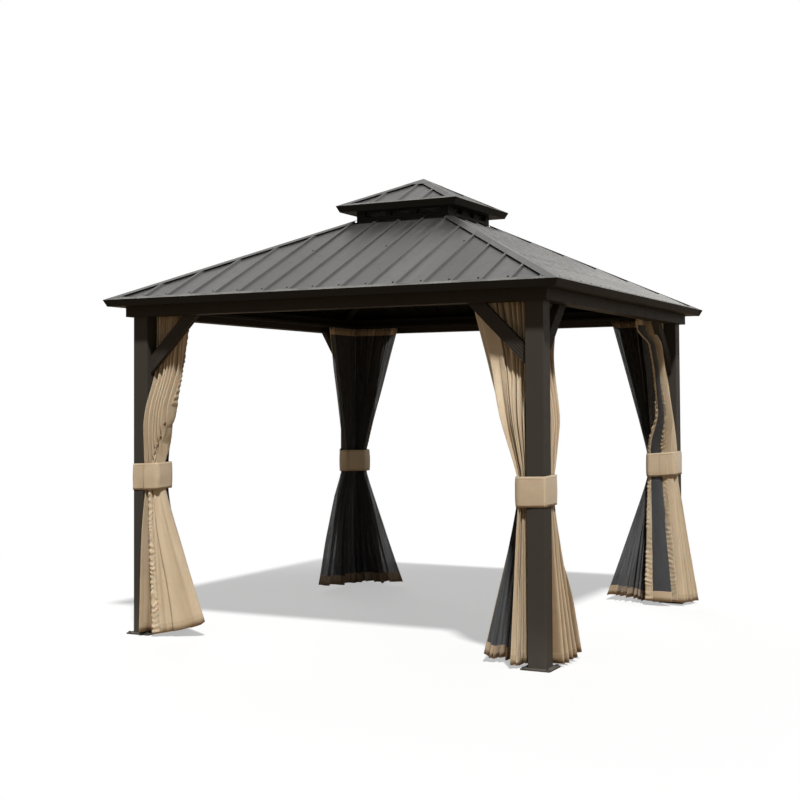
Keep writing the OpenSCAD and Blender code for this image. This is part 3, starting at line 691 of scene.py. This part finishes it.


# A gathered sheet: t goes across the cloth from its near edge, z is the height. The plan line is a trochoid,
# broad round folds outward with narrow valleys, that pairs up into folds twice as broad towards the hem, lies
# closer together at the near end and calms down at the leading edge. It also returns a mask of painted shade,
# high where the folds turn inward, or on the flank before them when the fold's lag is set
def hang(shape, t, z, seed):
    f = foldSet
    top, waist, hem = (clothSet[k] for k in ("top", "waist", "hem"))
    near, far, nearOut, farOut, half = ringAt(clothSet, shape, z)
    way, over, under = wayAcross(shape, t, z)
    skirt = smoothStep((waist - z) / (waist - hem))
    body = smoothStep((top - z) / f["bodyOver"])
    closer = shape["skew"] * skirt
    way = way + closer * (way * way - way)
    uneven = sum(size * np.sin(2 * math.pi * (waves * t + seed * turn)) for size, waves, turn in f["uneven"])
    wander = f["wander"] * body * valueNoise(t * 5, z * 1.4 + 9, seed)
    phase = 2 * math.pi * (shape["folds"] * (t + uneven) + wander)
    strong = 1 - f["vary"] + f["vary"] * valueNoise(t * shape["folds"], z * 1.1, seed + 1)
    pair = phase / 2 + seed
    tight = np.exp(-((z - waist) / f["tight"]) ** 2)
    raised = smoothStep((top - f["pairFrom"] - z) / f["pairOver"]) * (1 - skirt)
    paired = shape["paired"] * skirt + shape["upper"] * raised
    full = smoothStep((f["fullFrom"] - z) / f["fullOver"]) * (1 - tight)
    half = half * (1 + f["fuller"] * shape["upper"] * raised * full)
    wave = -(1 - paired) * np.cos(phase) * strong - paired * np.cos(pair)
    shift = -f["slack"] * ((1 - paired) * np.sin(phase) * strong + 2 * paired * np.sin(pair))
    shift = shift / (2 * math.pi * shape["folds"]) * (1 - over) * (1 + closer * (2 * way - 1))
    calm = shape["calm"] * skirt * smoothStep((t - f["calmFrom"]) / f["calmOver"])
    crumple = f["crumple"] * valueNoise(t * 22, z * 6, seed + 2)
    crumple = crumple + f["crease"] * ridges(t * 13 + z * 2.2, z * 5, seed + 3)
    crumple = crumple * (f["crumpleFree"] + f["crumpleTied"] * tight) * body
    flat = lapDepth(lapSet, half, phase, way, skirt, z)
    folded = half * wave * (1 - lapSet["press"] * under) * (1 - calm)
    depth = nearOut + (farOut - nearOut) * way + folded * (1 - over) + flat * over + crumple
    along = near + (far - near) * (way + shift)
    turned, stripAlong, stripOut = capStrip(capSet, shape, t, z, far, farOut)
    depth = depth * (1 - turned) + (stripOut + crumple) * turned
    along = along * (1 - turned) + stripAlong * turned
    along = np.minimum(along, clothSet["postIn"] + np.maximum(0, depth - clothSet["postOut"]))
    # Painted shade for the cloth's colour: high in the fold valleys, or on the flank before them when lag is
    # set
    lean = wave * math.cos(shape["lag"]) - np.sin(phase) * math.sin(shape["lag"])
    paintedFoldShade = smoothStep((f["paintedFoldShadeFrom"] - lean) / f["paintedFoldShadeOver"]) * (1 - over) * (1 - turned)
    return along, depth, paintedFoldShade


# The sheet's hem waves a little and lifts towards its leading edge
def sheetGrid(shape, seed, t, v):
    s = clothSet
    way = wayAcross(shape, t, s["hem"])[0]
    hemLine = s["hem"] + s["hemWave"] * valueNoise(t * s["hemCells"], t * 0, seed + 4)
    hemLine = hemLine + shape["lift"] * way ** 3
    z = s["top"] + (hemLine - s["top"]) * v
    return *hang(shape, t, z, seed), z


# The sheet as a grid of t across and v down, set on its wall; its UV map is in metres of flat cloth
def hangSheet(name, shape, side, sign, seed, material):
    t, v = np.meshgrid(np.linspace(0, 1, shape["cols"]), np.linspace(0, 1, clothSet["rows"]))
    r, d, paintedFoldShade, z = sheetGrid(shape, seed, t, v)
    points = onWall(side, sign, r, d, z)
    uv = np.stack([t * shape["wide"], v * clothSet["long"]], axis=-1)
    quads = gridQuads(clothSet["rows"], shape["cols"])
    piece = newPiece(name, points, quads.tolist(), material, uv, paintedFoldShade)
    across = np.linalg.norm(np.diff(points, axis=1), axis=-1).sum(axis=1).mean()
    print(f"{name}: {across:.2f} m of cloth across, cut {shape['wide']:.2f} m")
    return thicken(piece, shape["thick"])


# Zip tape: a ribbon on the leading edge, puckered by its stitching, standing off the sheet along its normal,
# which is square to the step from a point just behind
tapeSet = dict(wide=0.056, cols=8, rows=300, span=(0.012, 0.995), behind=0.004, pucker=0.012, pitch=0.034,
               wander=0.9, inner=0.35, even=0.65, vary=0.5, off=0.0022, thick=0.0010)


def sewTape(name, shape, side, sign, seed, face, material):
    s = tapeSet
    across, v = np.meshgrid(np.linspace(0, 1, s["cols"]), np.linspace(*s["span"], s["rows"]))
    t = 1 - s["wide"] / shape["wide"] * (1 - across)
    r, d, _, z = sheetGrid(shape, seed, t, v)
    behindR, behindD = sheetGrid(shape, seed, t - s["behind"], v)[:2]
    run, rise = r - behindR, d - behindD
    size = np.sqrt(run * run + rise * rise) + 1e-9
    phase = 2 * math.pi * (z / s["pitch"] + s["wander"] * valueNoise(z * 11, across * 1.5, seed + 7))
    gathered = (0.5 + 0.5 * np.sin(phase)) * (s["inner"] + (1 - s["inner"]) * across)
    lift = s["off"] + s["pucker"] * shape["tape"] * gathered
    lift = lift * (s["even"] + s["vary"] * valueNoise(z * 17, across * 2, seed + 8))
    points = onWall(side, sign, r + face * lift * -rise / size, d + face * lift * run / size, z)
    uv = np.stack([across * s["wide"], v * clothSet["long"]], axis=-1)
    piece = newPiece(name, points, gridQuads(s["rows"], s["cols"]).tolist(), material, uv)
    return thicken(piece, s["thick"])


# Bands sewn along a sheet's top, hem and sides
sewnSet = dict(khaki=(0.05, 0.055, 0.018), tape=(0.02, 0.02, 0.008), net=(0.055, 0.070, 0.010))
khaki = clothPaint("khakiPolyester", khakiSet, curtainSet["wide"], clothSet["long"], sewnSet["khaki"])
tapeKhaki = clothPaint("zipTape", khakiSet, tapeSet["wide"], clothSet["long"], sewnSet["tape"])
net = netPaint("insectNet", netSet, netSheetSet["wide"], clothSet["long"], sewnSet["net"])
sideOrder = ("front", "right", "back", "left")
clothKinds = (("curtain", curtainSet, curtainShapes, khaki, "curtain_cloth", 0),
              ("net", netSheetSet, netShapes, net, "net_mesh", 50))


def hangCorner(corner, number):
    for kind, base, shapes, cloth, slot, firstSeed in clothKinds:
        for side, sign in cornerSides[corner]:
            seed = 11 * number + 3 * sideOrder.index(side) + firstSeed
            name = f"{kind}_{corner}_{side}_side"
            shape = {**base, **shapes.get((corner, side), {})}
            sheet = hangSheet(name, shape, side, sign, seed, cloth)
            face = 1 if shape["lap"] else -1
            if shape["tape"]:
                tape = sewTape(f"{name}_zip_tape", shape, side, sign, seed, face, tapeKhaki)
            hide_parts(f"{kind}_{corner}")


for number, corner in enumerate(cornerSides):
    hangCorner(corner, number)
print("curtains and nets hung")

# Tie bands: a strap round the post and both bundles. Each corner of its line is r along x, r along y and a
# radius; lower is how far its middle lies below the solid's
bandSet = dict(
    high=bandBox[1].z - bandBox[0].z + 0.008, middle=clothSet["waist"], thick=0.0022, overlap=0.055,
    start=0.50, cols=260, rows=13, bulge=0.0025, pucker=0.0016, drift=0.0012, wave=0.0025, slant=0.004,
    lapHigh=0.0030, lapFrom=0.012, lapOver=0.02, sewnWide=2.0, sewn=(0.014, 0.014, 0.0),
)
bandShapes = {
    "front_right": dict(lower=0.015, line=(
        (1.3695, 1.3695, 0.008), (1.200, 1.3735, 0.030), (1.150, 1.190, 0.020), (1.190, 1.142, 0.020),
        (1.3735, 1.180, 0.026))),
    "front_left": dict(lower=-0.020, slant=-0.006, line=(
        (1.3695, 1.3695, 0.008), (1.282, 1.3695, 0.010), (1.262, 1.404, 0.014), (1.166, 1.380, 0.026),
        (1.162, 1.250, 0.020), (1.190, 1.206, 0.020), (1.250, 1.162, 0.020), (1.3735, 1.180, 0.026))),
    "back_right": dict(lower=-0.020, slant=0.008, line=(
        (1.3695, 1.3695, 0.008), (1.180, 1.3735, 0.026), (1.160, 1.198, 0.018), (1.184, 1.150, 0.018),
        (1.3795, 1.166, 0.026))),
    "back_left": dict(lower=-0.015, line=(
        (1.3695, 1.3695, 0.008), (1.180, 1.3735, 0.026), (1.122, 1.300, 0.026), (1.104, 1.180, 0.020),
        (1.184, 1.026, 0.020), (1.250, 1.040, 0.020), (1.3695, 1.262, 0.012))),
}


# A closed line with its corners rounded: each corner is a curve that pulls in from the two points a radius
# away; it starts a length along the line and runs once round and an overlap further
def roundedLoop(line, count, begin, overlap, curvePoints=9):
    corners = np.array([p[:2] for p in line])
    radii = np.array([p[2] for p in line])[:, None]
    before, after = np.roll(corners, 1, axis=0) - corners, np.roll(corners, -1, axis=0) - corners
    start = corners + radii * before / np.linalg.norm(before, axis=1, keepdims=True)
    end = corners + radii * after / np.linalg.norm(after, axis=1, keepdims=True)
    q = np.linspace(0, 1, curvePoints)[None, :, None]
    curve = (1 - q) ** 2 * start[:, None] + 2 * q * (1 - q) * corners[:, None] + q * q * end[:, None]
    points = curve.reshape(-1, 2)
    points = np.vstack([points, points[:1]])
    run = np.concatenate([[0], np.cumsum(np.linalg.norm(np.diff(points, axis=0), axis=1))])
    along = np.linspace(0, run[-1] + overlap, count)
    reached = (along + begin) % run[-1]
    xy = np.stack([np.interp(reached, run, points[:, k]) for k in range(2)], axis=-1)
    slope = np.gradient(xy, axis=0)
    outward = np.stack([-slope[:, 1], slope[:, 0]], axis=-1)
    outward = outward / np.linalg.norm(outward, axis=1, keepdims=True)
    middle = corners.mean(axis=0)
    outward = outward * np.sign(((xy - middle) * outward).sum(axis=1).mean())
    return xy, outward, along, run[-1]


# The strap stands off its line by a bulge across its height, puckers along its edges and laps over its end
def tieBand(corner, seed):
    s = {**bandSet, **bandShapes[corner]}
    signX, signY = (sign for _, sign in cornerSides[corner])
    xy, outward, along, around = roundedLoop(s["line"], s["cols"], s["start"], s["overlap"])
    v = np.linspace(-0.5, 0.5, s["rows"])[:, None]
    edge = (2 * v) ** 4
    off = s["bulge"] * (1 - (2 * v) ** 2)
    off = off + s["pucker"] * edge * valueNoise(along * 26 + 0 * v, v * 2 + 5, seed)
    off = off + s["drift"] * valueNoise(along * 9 + 0 * v, v * 3 + 5, seed + 1)
    off = off + s["lapHigh"] * smoothStep((along - around + s["lapFrom"]) / s["lapOver"])[None, :]
    z = s["middle"] - s["lower"] + v * s["high"]
    z = z + s["slant"] * np.sin(2 * math.pi * along / around)[None, :]
    z = z + s["wave"] * valueNoise(along * 7 + 0 * v, 0 * v * along + 3, seed + 2)
    a, b = xy[:, 0] + off * outward[:, 0], xy[:, 1] + off * outward[:, 1]
    points = np.stack(np.broadcast_arrays(signX * a, signY * b, z), axis=-1)
    uv = np.stack(np.broadcast_arrays(along[None, :], (0.5 - v) * s["high"]), axis=-1)
    quads = gridQuads(s["rows"], s["cols"])
    piece = newPiece(f"tie_band_{corner}_strap", points, quads.tolist(), tieKhaki, uv)
    thicken(piece, s["thick"])
    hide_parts(f"tie_band_{corner}")
    print(f"tie band {corner}: strap {around + s['overlap']:.3f} m")


tieKhaki = clothPaint("tieBandCloth", khakiSet, bandSet["sewnWide"], bandSet["high"], bandSet["sewn"])
for number, corner in enumerate(cornerSides):
    tieBand(corner, 200 + 5 * number)
print("tie bands wrapped")

# Fixings: a shape turned from a profile of radius and height and set square to a face; a roof screw is a
# washer with a domed head, beside a rib in rows of a distance up the slope and every so many ribs
screwSet = dict(
    profile=((0.0075, -0.0005), (0.0075, 0.0012), (0.0052, 0.0014), (0.0050, 0.0040), (0.0030, 0.0052)),
    sides=8, pitchDeg=25.6, sideways=0.030, hipRoom=0.10, rows=((0.085, 1), (0.74, 3)),
    eaveHalf=1.5, eaveHigh=2.078, ribStep=0.174, ribsAside=8, panDepth=0.012,
)


def setScrews(name, profile, sides, places, normals, material, slot):
    profile = np.array(profile)
    turn = np.linspace(0, 2 * math.pi, sides, endpoint=False)
    normals = normals / np.linalg.norm(normals, axis=1, keepdims=True)
    helper = np.where(np.abs(normals[:, :1]) > 0.9, [[0.0, 1.0, 0.0]], [[1.0, 0.0, 0.0]])
    first = np.cross(normals, helper)
    first = first / np.linalg.norm(first, axis=1, keepdims=True)
    second = np.cross(normals, first)
    spoke = first[:, None] * np.cos(turn)[None, :, None] + second[:, None] * np.sin(turn)[None, :, None]
    points = (places[:, None, None] + profile[None, :, None, :1] * spoke[:, None]
              + profile[None, :, None, 1:] * normals[:, None, None])
    one = gridQuads(len(profile), sides, wrap=True)
    step = len(profile) * sides
    quads = (one[None] + (np.arange(len(places)) * step)[:, None, None]).reshape(-1, 4)
    lids = np.arange(step - sides, step)[None] + (np.arange(len(places)) * step)[:, None]
    return newPiece(name, points, quads.tolist() + lids.tolist(), material, smooth=False)


# Places on a roof slope: up is the distance from the eave and across the place along it, sunk to the pan
# between the ribs and turned by a quarter from slope to slope
def roofScrews(s):
    pitch = math.radians(s["pitchDeg"])
    places, normals = [], []
    for up, every in s["rows"]:
        across = np.arange(-s["ribsAside"], s["ribsAside"] + 1)[::every] * s["ribStep"] - s["sideways"]
        level = s["eaveHalf"] - up * math.cos(pitch)
        across = across[np.abs(across) < level - s["hipRoom"]]
        out = level - s["panDepth"] * math.sin(pitch)
        high = s["eaveHigh"] + up * math.sin(pitch) - s["panDepth"] * math.cos(pitch)
        for quarter in range(4):
            cos, sin = math.cos(quarter * math.pi / 2), math.sin(quarter * math.pi / 2)
            x, y = across * cos + out * sin, across * sin - out * cos
            places.append(np.stack([x, y, np.full_like(across, high)], axis=-1))
            square = np.array([sin * math.sin(pitch), -cos * math.sin(pitch), math.cos(pitch)])
            normals.append(np.broadcast_to(square, (len(across), 3)))
    return np.vstack(places), np.vstack(normals)


screwSteel = fittingPaint("screwHeads", steelSet)
screwPlaces = roofScrews(screwSet)
setScrews("roof_screws", screwSet["profile"], screwSet["sides"], *screwPlaces, screwSteel, "trim_paint")
print("roof screwed down")

# Anchor bolts: a washer and a hexagon head over each of the four holes of a foot plate
anchorSet = dict(
    washer=((0.0100, 0.0), (0.0100, 0.0020), (0.0050, 0.0021)), washerSides=16,
    head=((0.0090, 0.0020), (0.0090, 0.0075), (0.0075, 0.0084)), headSides=6,
    postMiddle=1.3135, holeOff=0.069, plateTop=0.008,
)


def anchorBolts(s):
    signs = np.array([(a, b) for a in (-1, 1) for b in (-1, 1)])
    flat = (signs[:, None] * s["postMiddle"] + signs[None] * s["holeOff"]).reshape(-1, 2)
    places = np.column_stack([flat, np.full(len(flat), s["plateTop"])])
    up = np.tile([0.0, 0.0, 1.0], (len(places), 1))
    setScrews("anchor_washers", s["washer"], s["washerSides"], places, up, boltZinc, "frame_paint")
    setScrews("anchor_heads", s["head"], s["headSides"], places, up, boltZinc, "frame_paint")


boltZinc = fittingPaint("boltZinc", zincSet)
anchorBolts(anchorSet)

# Gliders: nylon runners spaced evenly along a sheet's top, hung from the underside of its track
gliderSet = dict(
    profile=((0.0042, -0.001), (0.0042, 0.006), (0.0025, 0.007), (0.0025, 0.013), (0.0045, 0.016)),
    sides=8, count=11,
)


def trackGliders(s):
    places = []
    for base, shapes in ((curtainSet, curtainShapes), (netSheetSet, netShapes)):
        for corner, sides in cornerSides.items():
            for side, sign in sides:
                near, far, out = {**base, **shapes.get((corner, side), {})}["rings"][0][:3]
                places.append(onWall(side, sign, np.linspace(near, far, s["count"]), out, trackBox[0].z))
    places = np.vstack(places)
    down = np.tile([0.0, 0.0, -1.0], (len(places), 1))
    setScrews("track_gliders", s["profile"], s["sides"], places, down, gliderNylon, "trim_paint")


gliderNylon = fittingPaint("gliderNylon", nylonSet)
trackGliders(gliderSet)
print("posts bolted down and gliders set")


# Stage: a pale floor disc that fades into a white surround, a soft sun from the front, a weak fill from
# behind. What the floor throws back on the object is darker and warmer than what the camera sees of it
stageSet = dict(
    radius=40.0, rings=24, sides=96, floor=(0.74, 0.74, 0.735, 1), rough=0.9, bounce=(0.28, 0.215, 0.148, 1),
    glow=0.45, fadeFrom=2.2, fadeTo=5.5, white=(1, 1, 1, 1), sky=0.15,
    sunDeg=(33.0, 0.0, 37.0), sunSoft=4.0, sun=4.4, fillDeg=(55.0, 0.0, 222.0), fillSoft=30.0, fill=0.45,
)


# The floor is rings whose radius grows with the square of their number, round a flat middle
def makeFloor(s):
    radius = s["radius"] * (np.arange(s["rings"] + 1) / s["rings"])[1:, None] ** 2
    turn = np.linspace(0, 2 * math.pi, s["sides"], endpoint=False)[None, :]
    ring = np.stack(np.broadcast_arrays(radius * np.cos(turn), radius * np.sin(turn), 0 * radius), axis=-1)
    faces = gridQuads(s["rings"], s["sides"], wrap=True).tolist() + [list(range(s["sides"]))]
    mesh = bpy.data.meshes.new("floor")
    mesh.from_pydata(ring.reshape(-1, 3).tolist(), [], faces)
    floor = bpy.data.objects.new("floor", mesh)
    scene.collection.objects.link(floor)
    material, tree, shader = newMaterial("paleFloor", {"Roughness": s["rough"], "Specular IOR Level": 0.0})
    spot = split(tree, objectPlace(tree))
    squares = [calc(tree, "POWER", spot[axis], 2.0) for axis in "XY"]
    reach = calc(tree, "SQRT", calc(tree, "ADD", *squares))
    seen = put(tree, "ShaderNodeLightPath").outputs["Is Camera Ray"]
    fade = calc(tree, "MULTIPLY", ramp(tree, reach, s["fadeFrom"], s["fadeTo"], s["glow"], 1.0), seen)
    feed(tree, shader, {"Base Color": mixColour(tree, seen, s["bounce"], s["floor"])})
    white = put(tree, "ShaderNodeEmission", {"Color": s["white"], "Strength": 1.0}).outputs[0]
    mixed = put(tree, "ShaderNodeMixShader", {0: fade, 1: shader.outputs[0], 2: white}).outputs[0]
    feed(tree, tree.nodes["Material Output"], {"Surface": mixed})
    mesh.materials.append(material)


def makeLight(s, label):
    data = bpy.data.lights.new(label, "SUN")
    data.energy, data.angle = s[label], math.radians(s[label + "Soft"])
    light = bpy.data.objects.new(label, data)
    light.rotation_euler = [math.radians(a) for a in s[label + "Deg"]]
    light.visible_glossy = label == "sun"
    scene.collection.objects.link(light)


# White for camera, glossy and transmission rays, a weak sky for the rest
def makeWorld(s):
    world = bpy.data.worlds.new("studio")
    world.use_nodes = True
    scene.world = world
    tree = world.node_tree
    path = put(tree, "ShaderNodeLightPath").outputs
    seen = calc(tree, "MAXIMUM", path["Is Camera Ray"], path["Is Glossy Ray"])
    seen = calc(tree, "MAXIMUM", seen, path["Is Transmission Ray"])
    strength = linear(tree, seen, 1.0 - s["sky"], s["sky"])
    feed(tree, tree.nodes["Background"], {"Strength": strength, "Color": s["white"]})


makeFloor(stageSet)
makeLight(stageSet, "sun")
makeLight(stageSet, "fill")
makeWorld(stageSet)
scene.view_settings.view_transform = "Standard"
print("stage and light set")
